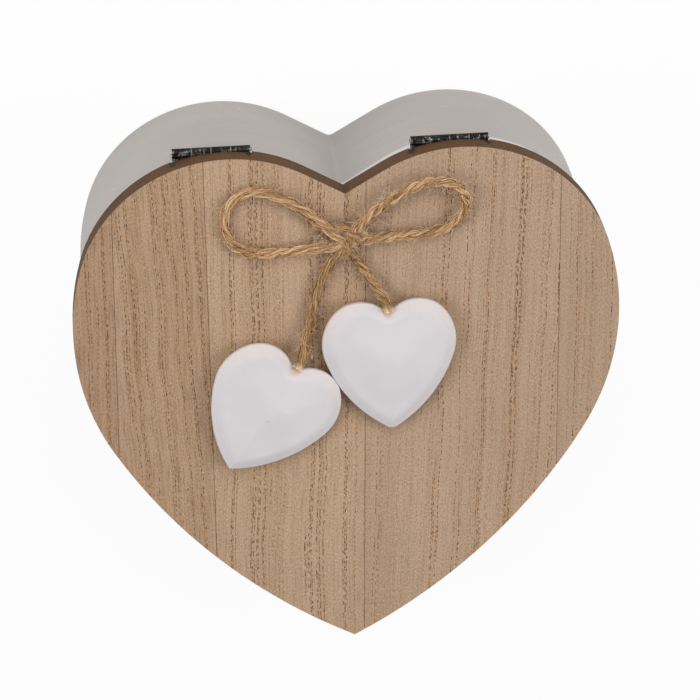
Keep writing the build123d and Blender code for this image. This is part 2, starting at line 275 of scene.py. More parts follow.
def sawn_fibreboard():
    material, tree, place = new_finish("sawn_fibreboard", specular=0.25)
    fibres = pattern(tree, place, (2000.0, 2000.0, 2600.0), 3.0, 0.7)
    layers = pattern(tree, place, (40.0, 40.0, 900.0), 3.0, 0.6)
    saw_marks = pattern(tree, place, (700.0, 700.0, 30.0), 2.0)
    burns = pattern(tree, place, (45.0, 45.0, 60.0), 3.0, 0.6)
    board = mix_colours(tree, remap(tree, fibres, 0.3, 0.7), colour(64, 42, 23), colour(125, 90, 57))
    board = mix_colours(tree, remap(tree, layers, 0.45, 0.75, 0.0, 0.35), board, colour(74, 50, 32))
    board = mix_colours(tree, remap(tree, burns, 0.5, 0.75, 0.0, 0.45), board, colour(66, 44, 28))
    axes = axes_of(tree, place)
    flat_height = times(tree, axes["Z"], mortise_shade_squeeze)
    flat_place = combined(tree, axes["X"], 0.0, flat_height)
    outer = remap(tree, axes["Y"], *lid_back)
    waver = times(tree, maths(tree, "SUBTRACT", saw_marks, 0.5), mortise_shade_waver)
    # Each dark spot is a painted shade where a hinge recess ends at the lid's edge.
    for across, height in mortise_shade_places:
        spot = (across, 0.0, height * mortise_shade_squeeze)
        away = maths(tree, "ADD", vector_maths(tree, "DISTANCE", flat_place, spot)["Value"], waver)
        mortise_shade = remap(tree, away, mortise_shade_reach * mortise_shade_solid_share, mortise_shade_reach, 0.85, 0.0, True)
        board = mix_colours(tree, times(tree, mortise_shade, outer), board, colour(44, 42, 41))
    relief = bumped(tree, saw_marks, 0.00015, 0.5)
    relief = bumped(tree, fibres, 0.00012, 0.8, relief)
    return finished(material, board, remap(tree, fibres, 0.3, 0.7, 0.7, 0.9), relief)


dress(["lid_core"], sawn_fibreboard())

# Veneer staves
# Five strips of thin pale veneer glued to the lid side by side, with their grain along the heart. The wood is
# ring-porous: each ring starts with a column of open pores, dark or ochre dashes. The face is only sanded.

ring_rise = 0.0009
ring_fall = 0.0023
ring_margin = 0.004
pore_spacing = 0.00056
pore_length = 0.0016
speck_spacing = 0.00043
speck_length = 0.0014
grain_waver = 0.0035


def ring_columns(tree, across, low, high, rings):
    """How thickly the pores stand across a stave: a sharp rise at each ring's start, then a slower fall."""
    ramp = add_node(tree, "ShaderNodeValToRGB", {"Fac": remap(tree, across, low, high)})
    stops = ramp.color_ramp.elements
    stops[1].color = (0.0, 0.0, 0.0, 1.0)
    for middle, strength in rings:
        for place, share in ((middle - ring_rise, 0.0), (middle, strength), (middle + ring_fall, 0.0)):
            stop = stops.new((place - low) / (high - low))
            stop.color = (share, share, share, 1.0)
    return ramp.outputs["Color"]


def pore_dashes(tree, across, along, spacing, length, density):
    """Short dashes strung out along lines at random places across the grain, and how dark each dash is."""
    line_at = maths(tree, "DIVIDE", across, spacing)
    lines = add_node(tree, "ShaderNodeTexVoronoi", {"W": line_at, "Scale": 1.0}, voronoi_dimensions="1D")
    line_draw = add_node(tree, "ShaderNodeSeparateColor", {"Color": lines.outputs["Color"]}).outputs
    step = maths(tree, "MULTIPLY_ADD", line_draw["Green"], 97.0, maths(tree, "DIVIDE", along, length))
    parts = add_node(tree, "ShaderNodeTexVoronoi", {"W": step, "Scale": 1.0}, voronoi_dimensions="1D")
    part_draw = add_node(tree, "ShaderNodeSeparateColor", {"Color": parts.outputs["Color"]}).outputs
    thin = remap(tree, lines.outputs["Distance"], 0.2, 0.32, 1.0, 0.0, True)
    short = remap(tree, parts.outputs["Distance"], 0.26, 0.4, 1.0, 0.0, True)
    line_shown = maths(tree, "LESS_THAN", line_draw["Red"], density)
    part_shown = maths(tree, "LESS_THAN", part_draw["Red"], 0.8)
    dashes = times(tree, times(tree, thin, short), times(tree, line_shown, part_shown))
    return dashes, part_draw["Green"]


def sanded_veneer(stave, pale, golden, lean, streaks, rings):
    """One stave's wood: its two tones, the grain's lean, how streaky it is, and its rings."""
    material, tree, place = new_finish(stave + "_wood", specular=0.3)
    low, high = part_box(stave)
    across, along, up = axes_of(tree, place)
    shift = (low.x * 900, 3.0, 0.0)
    waver = pattern(tree, place, (14.0, 26.0, 0.0), 3.0, 0.55, shift)
    waver = times(tree, maths(tree, "SUBTRACT", waver, 0.5), grain_waver)
    leaning = maths(tree, "MULTIPLY_ADD", along, -lean, across)
    grain_x = maths(tree, "ADD", leaning, waver)
    grain = combined(tree, grain_x, along, up)
    columns = ring_columns(tree, grain_x, low.x - ring_margin, high.x + ring_margin, rings)
    weave = pattern(tree, grain, (2900.0, 1300.0, 0.0), 2.0, 0.7, shift)
    fine_streaks = pattern(tree, grain, (1500.0, 70.0, 0.0), 3.0, 0.6, shift)
    broad_streaks = pattern(tree, grain, (260.0, 9.0, 0.0), 3.0, 0.6, shift)
    clouds = pattern(tree, place, (30.0, 14.0, 0.0), 2.0, 0.5, shift)
    runs = pattern(tree, grain, (160.0, 24.0, 0.0), 2.0, 0.5, shift)
    density = times(tree, columns, remap(tree, runs, 0.36, 0.6, 0.45, 1.3))
    thick = maths(tree, "MULTIPLY_ADD", density, 0.95, 0.04)
    pores, pore_tone = pore_dashes(tree, grain_x, along, pore_spacing, pore_length, thick)
    thin = maths(tree, "MULTIPLY_ADD", density, 0.75, 0.2)
    specks, speck_tone = pore_dashes(tree, grain_x, along, speck_spacing, speck_length, thin)
    ochre = colour(158, 113, 67)
    umber = colour(84, 57, 35)
    pore_colour = mix_colours(tree, remap(tree, pore_tone, 0.35, 0.75), ochre, umber)
    speck_colour = mix_colours(tree, remap(tree, speck_tone, 0.5, 0.9), ochre, umber)
    wood = mix_colours(tree, remap(tree, broad_streaks, 0.25, 0.75), pale, golden)
    wood = mix_colours(tree, remap(tree, clouds, 0.35, 0.7, 0.0, 0.25), wood, colour(160, 131, 106))
    wood = mix_colours(tree, times(tree, columns, 0.12), wood, colour(172, 136, 100))
    wood = mix_colours(tree, remap(tree, fine_streaks, 0.48, 0.7, 0.0, streaks), wood, colour(132, 101, 75))
    wood = mix_colours(tree, times(tree, specks, 0.6), wood, speck_colour)
    wood = mix_colours(tree, times(tree, pores, 0.92), wood, pore_colour)
    speckle = remap(tree, weave, 0.2, 0.8, 0.55, 1.45)
    wood = add_node(tree, "ShaderNodeHueSaturation", {"Color": wood, "Value": speckle}).outputs["Color"]
    hollow = maths(tree, "SUBTRACT", weave, times(tree, pores, 2.0))
    relief = bumped(tree, hollow, 0.00008, 0.6)
    return finished(material, wood, remap(tree, weave, 0.3, 0.7, 0.62, 0.8), relief)


stave_woods = {
    "veneer_stave_1": (
        (180, 150, 123), (168, 136, 107), 0.02, 0.6, [(-0.0856, 0.8), (-0.0829, 0.6), (-0.0800, 0.7)],
    ),
    "veneer_stave_2": (
        (188, 158, 131), (174, 142, 112), -0.03, 0.6,
        [
            (-0.0728, 0.9), (-0.0694, 1.0), (-0.0656, 0.8), (-0.0606, 0.8), (-0.0563, 1.0), (-0.0510, 0.8),
            (-0.0470, 1.0),
        ],
    ),
    "veneer_stave_3": (
        (195, 166, 139), (182, 151, 122), 0.026, 0.35,
        [
            (-0.0393, 1.0), (-0.0322, 0.9), (-0.0283, 0.7), (-0.0240, 0.6), (-0.0150, 0.35), (-0.0100, 0.9),
            (-0.0010, 0.15),
        ],
    ),
    "veneer_stave_4": (
        (190, 162, 137), (178, 149, 122), 0.05, 0.25,
        [(0.0120, 0.15), (0.0298, 0.7), (0.0370, 0.25), (0.0446, 1.0), (0.0541, 0.9), (0.0640, 0.35)],
    ),
    "veneer_stave_5": (
        (185, 158, 135), (174, 147, 122), 0.01, 0.25, [(0.0756, 0.5), (0.0795, 0.3), (0.0850, 0.25)],
    ),
}
for stave, (pale, golden, lean, streaks, rings) in stave_woods.items():
    dress([stave], sanded_veneer(stave, colour(*pale), colour(*golden), lean, streaks, rings))

# Glue lines
# The joints between the staves are full of dried glue and sanding dust, which stands just below the face and
# has gone brown. Each line runs along the right side of its stave and is held by it.

glue_gap = 0.0002
glue_depth = 0.0005
glue_sink = 0.00005
glue_end_gap = 0.0006
stave_side_length = 0.05


def dried_glue():
    material, tree, place = new_finish("dried_glue", specular=0.2)
    dust = pattern(tree, place, (600.0, 260.0, 600.0), 3.0, 0.65)
    glue = mix_colours(tree, remap(tree, dust, 0.35, 0.65), colour(82, 55, 34), colour(142, 106, 74))
    return finished(material, glue, roughness=0.85, relief=bumped(tree, dust, 0.0001, 0.6))


def right_side(stave):
    """The ends of the long straight edge along a stave's right side."""
    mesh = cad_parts[stave].data
    corners = [vertex.co for vertex in mesh.vertices]
    runs = [tuple(sorted((corners[a], corners[b]), key=lambda end: end.y)) for a, b in mesh.edge_keys]
    long_runs = [(low, high) for low, high in runs if (high - low).length > stave_side_length]
    return max(long_runs, key=lambda run: run[0].x + run[1].x)


def put_in_scene(name, data):
    """A new object in the scene."""
    made = bpy.data.objects.new(name, data)
    bpy.context.scene.collection.objects.link(made)
    return made


glue_finish = dried_glue()
bar_sides = [(0, 1, 3, 2), (4, 6, 7, 5), (0, 4, 5, 1), (2, 3, 7, 6), (1, 5, 7, 3), (0, 2, 6, 4)]
for stave in list(stave_woods)[:-1]:
    low, high = right_side(stave)
    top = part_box(stave)[1].z - glue_sink
    corners = []
    for end, inward in ((low, glue_end_gap), (high, -glue_end_gap)):
        for x in (0.0, glue_gap):
            for z in (top - glue_depth, top):
                corners.append((end.x + x, end.y + inward, z))
    mesh = bpy.data.meshes.new(stave + "_glue")
    mesh.from_pydata(corners, [], bar_sides)
    mesh.materials.append(glue_finish)
    glue_line = put_in_scene(stave + "_glue", mesh)
    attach(glue_line, "lid")

# Bow: loops and knot
# Jute twine laid up from three plies of loose fibre, tied in a bow and glued to the lid at the knot. Fibres
# fray and stand off it as fuzz. In the knot and the tails the same jute has a darker palette, a painted
# shade.

lid_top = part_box("veneer_stave_3")[1].z
twine_radius = 0.002
twine_plies = 3
ply_bundles = 26
hair_thickness = 0.000055
hair_clearance = 0.0001
path_step = 0.0006
frayed_tip = (0.0004, 0.0022)
full_turn = 6.283
knot_low, knot_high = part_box("twine_knot")
knot_spot = Vector(((knot_low.x + knot_high.x) / 2, (knot_low.y + knot_high.y) / 2, 0.0))


def attribute(tree, name):
    """A number that the mesh stores under a name."""
    return add_node(tree, "ShaderNodeAttribute", attribute_name=name).outputs["Fac"]


def jute(name, dark, middle, light):
    """Jute's colours along each bundle of fibres, from the attributes that the twine's tree stores."""
    material, tree, place = new_finish(name, specular=0.2)
    bundle = attribute(tree, "bundle")
    along = attribute(tree, "along")
    lengthwise = combined(tree, times(tree, along, 320.0), times(tree, bundle, 90.0))
    fibre_tone = noise(tree, lengthwise, 3.0, 0.65)
    specks = pattern(tree, place, (2600.0, 2600.0, 2600.0), 2.0, 0.6)
    tone = maths(tree, "MULTIPLY_ADD", specks, 0.2, times(tree, fibre_tone, 0.5))
    tone = maths(tree, "MULTIPLY_ADD", bundle, 0.3, tone)
    fibre = mix_colours(tree, remap(tree, tone, 0.3, 0.5), dark, middle)
    fibre = mix_colours(tree, remap(tree, tone, 0.5, 0.72), fibre, light)
    tip = attribute(tree, "tip")
    fibre = mix_colours(tree, times(tree, tip, 0.85), fibre, colour(250, 226, 194))
    relief = bumped(tree, specks, 0.0001, 0.6)
    return finished(material, fibre, remap(tree, tone, 0.3, 0.7, 0.85, 0.55), relief, sheen=0.1)


loop_fibre = jute("loop_fibre", colour(101, 72, 46), colour(195, 151, 105), colour(239, 204, 162))
# The knot, tails and loose yarn are the same jute, darker here as painted shade.
shaded_fibre = jute("shaded_fibre", colour(90, 63, 37), colour(173, 130, 85), colour(215, 179, 135))
fuzz_fibre = jute("fuzz_fibre", colour(172, 138, 100), colour(222, 188, 148), colour(248, 226, 196))


def new_tree(name, sizes):
    """A geometry tree with a geometry input, named number inputs and a geometry output."""
    tree = bpy.data.node_groups.new(name, "GeometryNodeTree")
    tree.interface.new_socket("Geometry", in_out="INPUT", socket_type="NodeSocketGeometry")
    for size_name, socket_kind in sizes:
        tree.interface.new_socket(size_name, in_out="INPUT", socket_type=socket_kind)
    tree.interface.new_socket("Geometry", in_out="OUTPUT", socket_type="NodeSocketGeometry")
    return tree, tree.nodes.new("NodeGroupInput").outputs


number_input = "NodeSocketFloat"
count_input = "NodeSocketInt"
material_input = "NodeSocketMaterial"


def geometry(tree, kind, inputs=None, **settings):
    """The first output of a new geometry node."""
    return add_node(tree, "GeometryNode" + kind, inputs, **settings).outputs[0]


def scaled(tree, vector, factor):
    """A vector times a number."""
    made = add_node(tree, "ShaderNodeVectorMath", {0: vector, "Scale": factor}, operation="SCALE")
    return made.outputs[0]


def chance(tree, low, high, seed, ident=None):
    """A random number for each element."""
    inputs = {2: low, 3: high, "Seed": seed}
    if ident is not None:
        inputs["ID"] = ident
    return add_node(tree, "FunctionNodeRandomValue", inputs, data_type="FLOAT").outputs[1]


def chance_vector(tree, low, high, seed):
    """A random vector for each element."""
    inputs = {0: (low, low, low), 1: (high, high, high), "Seed": seed}
    return add_node(tree, "FunctionNodeRandomValue", inputs, data_type="FLOAT_VECTOR").outputs[0]


def stored(tree, strands, name, value, domain="POINT"):
    """Strands with a number kept on them under a name."""
    inputs = {"Geometry": strands, "Name": name, "Value": value}
    return geometry(tree, "StoreNamedAttribute", inputs, data_type="FLOAT", domain=domain)


def finish_tree(tree, skin, material):
    """The end of a tree: the strands' skin with its material."""
    solid = geometry(tree, "RealizeInstances", {"Geometry": skin})
    dressed = geometry(tree, "SetMaterial", {"Geometry": solid, "Material": material})
    add_node(tree, "NodeGroupOutput", {"Geometry": dressed})
    return tree


def laid_twine_tree():
    """Plies wound round a path, each a ring of fibre bundles that wander a little."""
    tree, given = new_tree("laid_twine", [
        ("Lay", number_input), ("Radius", number_input), ("Plies", count_input), ("Bundles", count_input),
        ("Looseness", number_input), ("Seed", count_input), ("Material", material_input),
    ])
    path = geometry(tree, "MeshToCurve", {"Mesh": given["Geometry"]})
    evenly = {"Curve": path, "Length": path_step}
    path = geometry(tree, "ResampleCurve", evenly, mode="LENGTH")
    whole_length = geometry(tree, "SplineLength")
    count = times(tree, given["Plies"], given["Bundles"])
    repeated = {"Geometry": path, "Amount": count}
    copies = add_node(tree, "GeometryNodeDuplicateElements", repeated, domain="SPLINE")
    index = copies.outputs["Duplicate Index"]
    ply = maths(tree, "FLOOR", maths(tree, "DIVIDE", index, given["Bundles"]))
    bundle = maths(tree, "MODULO", index, given["Bundles"])
    length = add_node(tree, "GeometryNodeSplineParameter").outputs["Length"]
    tangent = geometry(tree, "InputTangent")
    normal = geometry(tree, "InputNormal")
    side = vector_maths(tree, "CROSS_PRODUCT", tangent, normal)[0]
    tip = remap(tree, maths(tree, "SUBTRACT", whole_length, length), *frayed_tip, 1.0, 0.0)
    turns = maths(tree, "DIVIDE", length, given["Lay"])
    ply_turn = maths(tree, "SUBTRACT", maths(tree, "DIVIDE", ply, given["Plies"]), turns)
    ply_seed = maths(tree, "MULTIPLY_ADD", ply, 5.7, given["Seed"])
    sway_at = combined(tree, times(tree, length, 90.0), ply_seed)
    sway = maths(tree, "SUBTRACT", noise(tree, sway_at, 1.0), 0.5)
    ply_turn = maths(tree, "MULTIPLY_ADD", sway, 0.4, ply_turn)
    ply_angle = times(tree, ply_turn, 2 * math.pi)
    bundle_share = maths(tree, "DIVIDE", bundle, given["Bundles"])
    bundle_turn = maths(tree, "ADD", bundle_share, times(tree, turns, 0.35))
    bundle_angle = times(tree, bundle_turn, 2 * math.pi)
    strand_seed = maths(tree, "MULTIPLY_ADD", index, 7.31, given["Seed"])
    wander_at = combined(tree, times(tree, length, 260.0), strand_seed)
    wander = add_node(tree, "ShaderNodeTexNoise", {"Vector": wander_at, "Scale": 1.0, "Detail": 2.0})
    drift = vector_maths(tree, "SUBTRACT", wander.outputs["Color"], (0.5, 0.5, 0.5))[0]
    drift = scaled(tree, drift, times(tree, given["Looseness"], given["Radius"]))
    ply_reach = times(tree, given["Radius"], 0.45)
    second_seed = maths(tree, "ADD", given["Seed"], 31.0)
    bundle_reach = times(tree, given["Radius"], chance(tree, 0.14, 0.44, second_seed, index))
    reaches = []
    for wave in ("COSINE", "SINE"):
        ply_part = times(tree, ply_reach, maths(tree, wave, ply_angle))
        bundle_part = times(tree, bundle_reach, maths(tree, wave, bundle_angle))
        reaches.append(maths(tree, "ADD", ply_part, bundle_part))
    out, over = reaches
    offset = vector_maths(tree, "ADD", scaled(tree, normal, out), scaled(tree, side, over))[0]
    offset = scaled(tree, offset, maths(tree, "MULTIPLY_ADD", tip, 0.05, 1.0))
    offset = vector_maths(tree, "ADD", offset, drift)[0]
    strands = stored(tree, copies.outputs["Geometry"], "along", length)
    strands = stored(tree, strands, "bundle", chance(tree, 0.0, 1.0, given["Seed"], index))
    strands = stored(tree, strands, "tip", tip)
    laid = geometry(tree, "SetPosition", {"Geometry": strands, "Offset": offset})
    thickness = times(tree, given["Radius"], chance(tree, 0.05, 0.11, given["Seed"], index))
    profile = geometry(tree, "CurvePrimitiveCircle", {"Resolution": 4, "Radius": 1.0})
    sized = geometry(tree, "SetCurveRadius", {"Curve": laid, "Radius": thickness})
    swept = {"Curve": sized, "Profile Curve": profile, "Fill Caps": True}
    swept["Scale"] = geometry(tree, "InputRadius")
    skin = geometry(tree, "CurveToMesh", swept)
    smooth = geometry(tree, "SetShadeSmooth", {"Geometry": skin})
    return finish_tree(tree, smooth, given["Material"])


def fuzz_tree():
    """Bent hairs that stand off a path in all directions and lie down where they meet the lid."""
    tree, given = new_tree("twine_fuzz", [
        ("Hairs", count_input), ("Shortest", number_input), ("Longest", number_input),
        ("Thickness", number_input), ("Radius", number_input), ("Lid", number_input), ("Seed", count_input),
        ("Material", material_input),
    ])
    path = geometry(tree, "MeshToCurve", {"Mesh": given["Geometry"]})
    counted = {"Curve": path, "Count": given["Hairs"]}
    points = geometry(tree, "CurveToPoints", counted, mode="COUNT")
    around = chance_vector(tree, -1.0, 1.0, given["Seed"])
    outward = vector_maths(tree, "NORMALIZE", around)[0]
    spread = scaled(tree, outward, times(tree, given["Radius"], 0.75))
    roots = geometry(tree, "SetPosition", {"Geometry": points, "Offset": spread})
    bend = {"Resolution": 6, "Start": (0.0, 0.0, 0.0), "Middle": (0.08, 0.0, 0.55), "End": (0.5, 0.12, 0.8)}
    hair = geometry(tree, "CurveQuadraticBezier", bend)
    second_seed = maths(tree, "ADD", given["Seed"], 11.0)
    third_seed = maths(tree, "ADD", given["Seed"], 23.0)
    turn = chance_vector(tree, 0.0, full_turn, second_seed)
    long_share = maths(tree, "POWER", chance(tree, 0.0, 1.0, third_seed), 2.0)
    size_range = maths(tree, "SUBTRACT", given["Longest"], given["Shortest"])
    size = maths(tree, "MULTIPLY_ADD", long_share, size_range, given["Shortest"])
    rooted = {"Points": roots, "Instance": hair, "Rotation": turn, "Scale": size}
    hairs = geometry(tree, "InstanceOnPoints", rooted)
    hairs = stored(tree, hairs, "bundle", chance(tree, 0.0, 1.0, second_seed), "INSTANCE")
    loose = geometry(tree, "RealizeInstances", {"Geometry": hairs})
    loose = stored(tree, loose, "along", add_node(tree, "GeometryNodeSplineParameter").outputs["Length"])
    x, y, z = axes_of(tree, geometry(tree, "InputPosition"))
    lying = combined(tree, x, y, maths(tree, "MAXIMUM", z, given["Lid"]))
    loose = geometry(tree, "SetPosition", {"Geometry": loose, "Position": lying})
    hair_round = {"Resolution": 3, "Radius": given["Thickness"]}
    profile = geometry(tree, "CurvePrimitiveCircle", hair_round)
    swept = {"Curve": loose, "Profile Curve": profile, "Fill Caps": True}
    skin = geometry(tree, "CurveToMesh", swept)
    return finish_tree(tree, skin, given["Material"])


def route_points(name, points):
    """Points read along the smooth line that has the route's points as its control points."""
    line = bpy.data.curves.new(name + "_route", "CURVE")
    line.dimensions = "3D"
    line.resolution_u = 12
    spline = line.splines.new("NURBS")
    spline.points.add(len(points) - 1)
    for point, place in zip(spline.points, points):
        point.co = (*place, 1.0)
    spline.order_u = 3
    spline.use_endpoint_u = True
    holder = bpy.data.objects.new(name + "_route", line)
    traced = bpy.data.meshes.new_from_object(holder)
    places = [vertex.co.copy() for vertex in traced.vertices]
    bpy.data.objects.remove(holder)
    bpy.data.meshes.remove(traced)
    bpy.data.curves.remove(line)
    return places


def grown(name, paths, tree, sizes):
    """The plain mesh object that a tree makes along one or more paths."""
    vertices = []
    edges = []
    for path in paths:
        first = len(vertices)
        vertices += path
        edges += [(first + step, first + step + 1) for step in range(len(path) - 1)]
    guide = bpy.data.meshes.new(name + "_guide")
    guide.from_pydata(vertices, edges, [])
    maker = put_in_scene(name + "_maker", guide)
    modifier = maker.modifiers.new(name + "_tree", "NODES")
    modifier.node_group = tree
    for item in tree.interface.items_tree:
        if item.name in sizes:
            modifier[item.identifier] = sizes[item.name]
    bpy.context.view_layer.update()
    depsgraph = bpy.context.evaluated_depsgraph_get()
    mesh = bpy.data.meshes.new_from_object(maker.evaluated_get(depsgraph))
    bpy.data.objects.remove(maker)
    bpy.data.meshes.remove(guide)
    mesh.name = name
    return put_in_scene(name, mesh)


def above_lid(points):
    """Points given from the knot's middle, with their height over the lid, in the frame."""
    return [knot_spot + Vector((x, y, lid_top + z)) for x, y, z in points]


twine_maker = laid_twine_tree()
fuzz_maker = fuzz_tree()


def twine(name, paths, fibre, lay, looseness, seed):
    """One piece of twine along its paths."""
    sizes = {
        "Lay": lay, "Radius": twine_radius, "Plies": twine_plies, "Bundles": ply_bundles,
        "Looseness": looseness, "Seed": seed, "Material": fibre,
    }
    return grown(name, paths, twine_maker, sizes)


def fuzz(name, paths, hairs, shortest, longest, seed):
    """The loose hairs along a piece of twine."""
    sizes = {
        "Hairs": hairs, "Shortest": shortest, "Longest": longest, "Thickness": hair_thickness,
        "Radius": twine_radius, "Lid": lid_top + hair_clearance, "Seed": seed, "Material": fuzz_fibre,
    }
    return grown(name, paths, fuzz_maker, sizes)


loop_routes = {
    "twine_loop_left": [
        (-0.0008, 0.0006, 0.0046), (-0.0040, 0.0031, 0.0044), (-0.0118, 0.0107, 0.0040),
        (-0.0198, 0.0165, 0.0032), (-0.0293, 0.0202, 0.0026), (-0.0383, 0.0166, 0.0023),
        (-0.0403, 0.0076, 0.0022), (-0.0368, -0.0006, 0.0023), (-0.0283, -0.0028, 0.0028),
        (-0.0163, -0.0014, 0.0037), (-0.0050, -0.0007, 0.0044), (-0.0008, -0.0004, 0.0040),
    ],
    "twine_loop_right": [
        (0.0004, 0.0016, 0.0046), (0.0018, 0.0047, 0.0044), (0.0091, 0.0117, 0.0050),
        (0.0173, 0.0178, 0.0058), (0.0270, 0.0218, 0.0062), (0.0364, 0.0195, 0.0056),
        (0.0394, 0.0115, 0.0046), (0.0344, 0.0041, 0.0034), (0.0255, 0.0015, 0.0028),
        (0.0153, 0.0018, 0.0035), (0.0049, 0.0012, 0.0044), (0.0010, 0.0006, 0.0040),
    ],
}
loop_lays = {"twine_loop_left": 0.016, "twine_loop_right": 0.0115}
for seed, (name, route) in enumerate(loop_routes.items()):
    path = route_points(name, above_lid(route))
    loop = twine(name + "_laid", [path], loop_fibre, loop_lays[name], looseness=0.3, seed=40 + seed)
    loop_fuzz = fuzz(name + "_fuzz", [path], hairs=700, shortest=0.0010, longest=0.0060, seed=60 + seed)
    for piece in (loop, loop_fuzz):
        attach(piece, "lid")
    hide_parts(name)

knot_turns = [
    [
        (-0.0044, 0.0048, 0.0024), (-0.0028, 0.0056, 0.0040), (-0.0003, 0.0050, 0.0050),
        (0.0024, 0.0032, 0.0052), (0.0038, 0.0008, 0.0046), (0.0028, -0.0016, 0.0030),
        (0.0006, -0.0026, 0.0022),
    ],
    [
        (-0.0006, 0.0050, 0.0030), (-0.0005, 0.0026, 0.0050), (-0.0004, -0.0004, 0.0055),
        (-0.0007, -0.0032, 0.0042), (-0.0009, -0.0048, 0.0022),
    ],
    [
        (-0.0052, -0.0014, 0.0024), (-0.0026, -0.0012, 0.0036), (0.0008, 0.0010, 0.0042),
        (0.0044, 0.0030, 0.0034), (0.0052, 0.0034, 0.0024),
    ],
]
knot_paths = [route_points("twine_knot", above_lid(turn)) for turn in knot_turns]
knot = twine("twine_knot_laid", knot_paths, shaded_fibre, lay=0.011, looseness=0.25, seed=50)
tufts = [
    [(-0.0043, 0.0008, 0.0045), (-0.0075, 0.0013, 0.0045), (-0.0104, 0.0020, 0.0040)],
    [(0.0013, 0.0034, 0.0040), (0.0052, 0.0060, 0.0042), (0.0092, 0.0085, 0.0040)],
]
tuft_paths = [route_points("twine_tuft", above_lid(tuft)) for tuft in tufts]
fuzz_paths = knot_paths + tuft_paths
knot_fuzz = fuzz("twine_knot_fuzz", fuzz_paths, hairs=90, shortest=0.0016, longest=0.0075, seed=70)
for piece in (knot, knot_fuzz):
    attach(piece, "lid")
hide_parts("twine_knot")

# Tails
# The two ends of the same twine come out under the knot and run down the lid to the hearts, where each is cut
# short and glued into the heart's notch. The left one has come a little unlaid.

heart_middle_height = 0.0048
heart_notch = 0.0114
heart_places = {
    "left": (Vector((-0.0245, -0.05257, lid_top + heart_middle_height)), math.radians(-32.8)),
    "right": (Vector((0.0127, -0.03547, lid_top + heart_middle_height)), math.radians(1.2)),
}


def on_heart(side, x, y, z=0.0):
    """A point given on a heart, in the frame."""
    middle, turn = heart_places[side]
    return knot_spot + middle + Matrix.Rotation(turn, 3, "Z") @ Vector((x, y, z))


tail_routes = {
    "left": [
        (0.0024, 0.0044, 0.0030), (-0.0008, -0.0010, 0.0036), (-0.0038, -0.0042, 0.0026),
        (-0.0062, -0.0076, 0.0023), (-0.0088, -0.0122, 0.0022), (-0.0110, -0.0194, 0.00225),
        (-0.0126, -0.0268, 0.0027), (-0.0144, -0.0340, 0.0040),
    ],
    "right": [
        (-0.0026, 0.0046, 0.0030), (0.0006, -0.0010, 0.0036), (0.0019, -0.0048, 0.0026),
        (0.0037, -0.0078, 0.0023), (0.0060, -0.0115, 0.0023), (0.0085, -0.0156, 0.0029),
        (0.0106, -0.0192, 0.0042),
    ],
}
tail_lays = {"left": (0.018, 0.36), "right": (0.0115, 0.3)}
tail_ends = {"left": (0.0044, 0.0007), "right": (0.0036, 0.0001)}
tail_end_heights = (0.0012, 0.0024)
heart_clearance = 0.004
loose_yarn = [
    (-0.0128, -0.0262, 0.0036), (-0.0138, -0.0320, 0.0038), (-0.0134, -0.0365, 0.0036),
    (-0.0128, -0.0408, 0.0030),
]
for seed, (side, route) in enumerate(tail_routes.items()):
    name = "twine_tail_" + side
    points = above_lid(route)
    for above_notch, height in zip(tail_ends[side], tail_end_heights):
        points.append(on_heart(side, 0.0, heart_notch + above_notch, height))
    path = route_points(name, points)
    tail = twine(name + "_laid", [path], shaded_fibre, *tail_lays[side], 44 + seed)
    clear_of_heart = [point for point in path if (point - path[-1]).length > heart_clearance]
    hair_sizes = {"hairs": 280, "shortest": 0.0010, "longest": 0.0060, "seed": 64 + seed}
    pieces = [fuzz(name + "_fuzz", [clear_of_heart], **hair_sizes)]
    if side == "left":
        yarn_sizes = {
            "Lay": 0.012, "Radius": 0.0009, "Plies": 2, "Bundles": 9, "Looseness": 0.5, "Seed": 48,
            "Material": shaded_fibre,
        }
        yarn_path = route_points(name + "_yarn", above_lid(loose_yarn))
        pieces.append(grown(name + "_yarn", [yarn_path], twine_maker, yarn_sizes))
    for piece in [tail] + pieces:
        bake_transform(piece)
    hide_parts(name)

# Hearts
# Two small hearts cut out of wood, with a narrow rim and a broad raised face, dipped in matt white paint that
# is thin and pinkish along the upper rims, and with a painted highlight along the outline. Each has the end
# of its tail glued into its notch.

heart_cuts = {"left": (0.0435, 0.0453, 0.0004), "right": (0.0442, 0.0470, 0.003)}
heart_flank_angle = math.radians(31)
heart_shoulder_angle = math.radians(40)
heart_side_angle = math.radians(17)
heart_notch_radius = 0.002
shoulder_share = 0.384
flank_share = 0.082
heart_core = Vector((0.0, -0.004))
heart_core_inset = 0.02
edge_round = 0.0007
edge_half = 0.0007
edge_rise = 0.0006
face_rises = [(0.0006, 0.0004, 0.0022), (0.0008, 0.0014, 0.0042), (0.0016, 0.0032, 0.0190)]
back_edge = 0.0003
back_depth = 0.0042
back_chamfer = 0.003
row_shares = [0.0, 0.008, 0.02, 0.035, 0.055, 0.08, 0.11, 0.145, 0.185, 0.23, 0.28, 0.34, 0.42, 0.55, 0.75]


def arc(middle, radius, first, last, step=math.radians(2.5)):
    """Points along an arc, both ends included."""
    count = max(3, math.ceil(abs(last - first) / step))
    angles = [first + (last - first) * index / count for index in range(count + 1)]
    return [middle + radius * Vector((math.cos(angle), math.sin(angle))) for angle in angles]


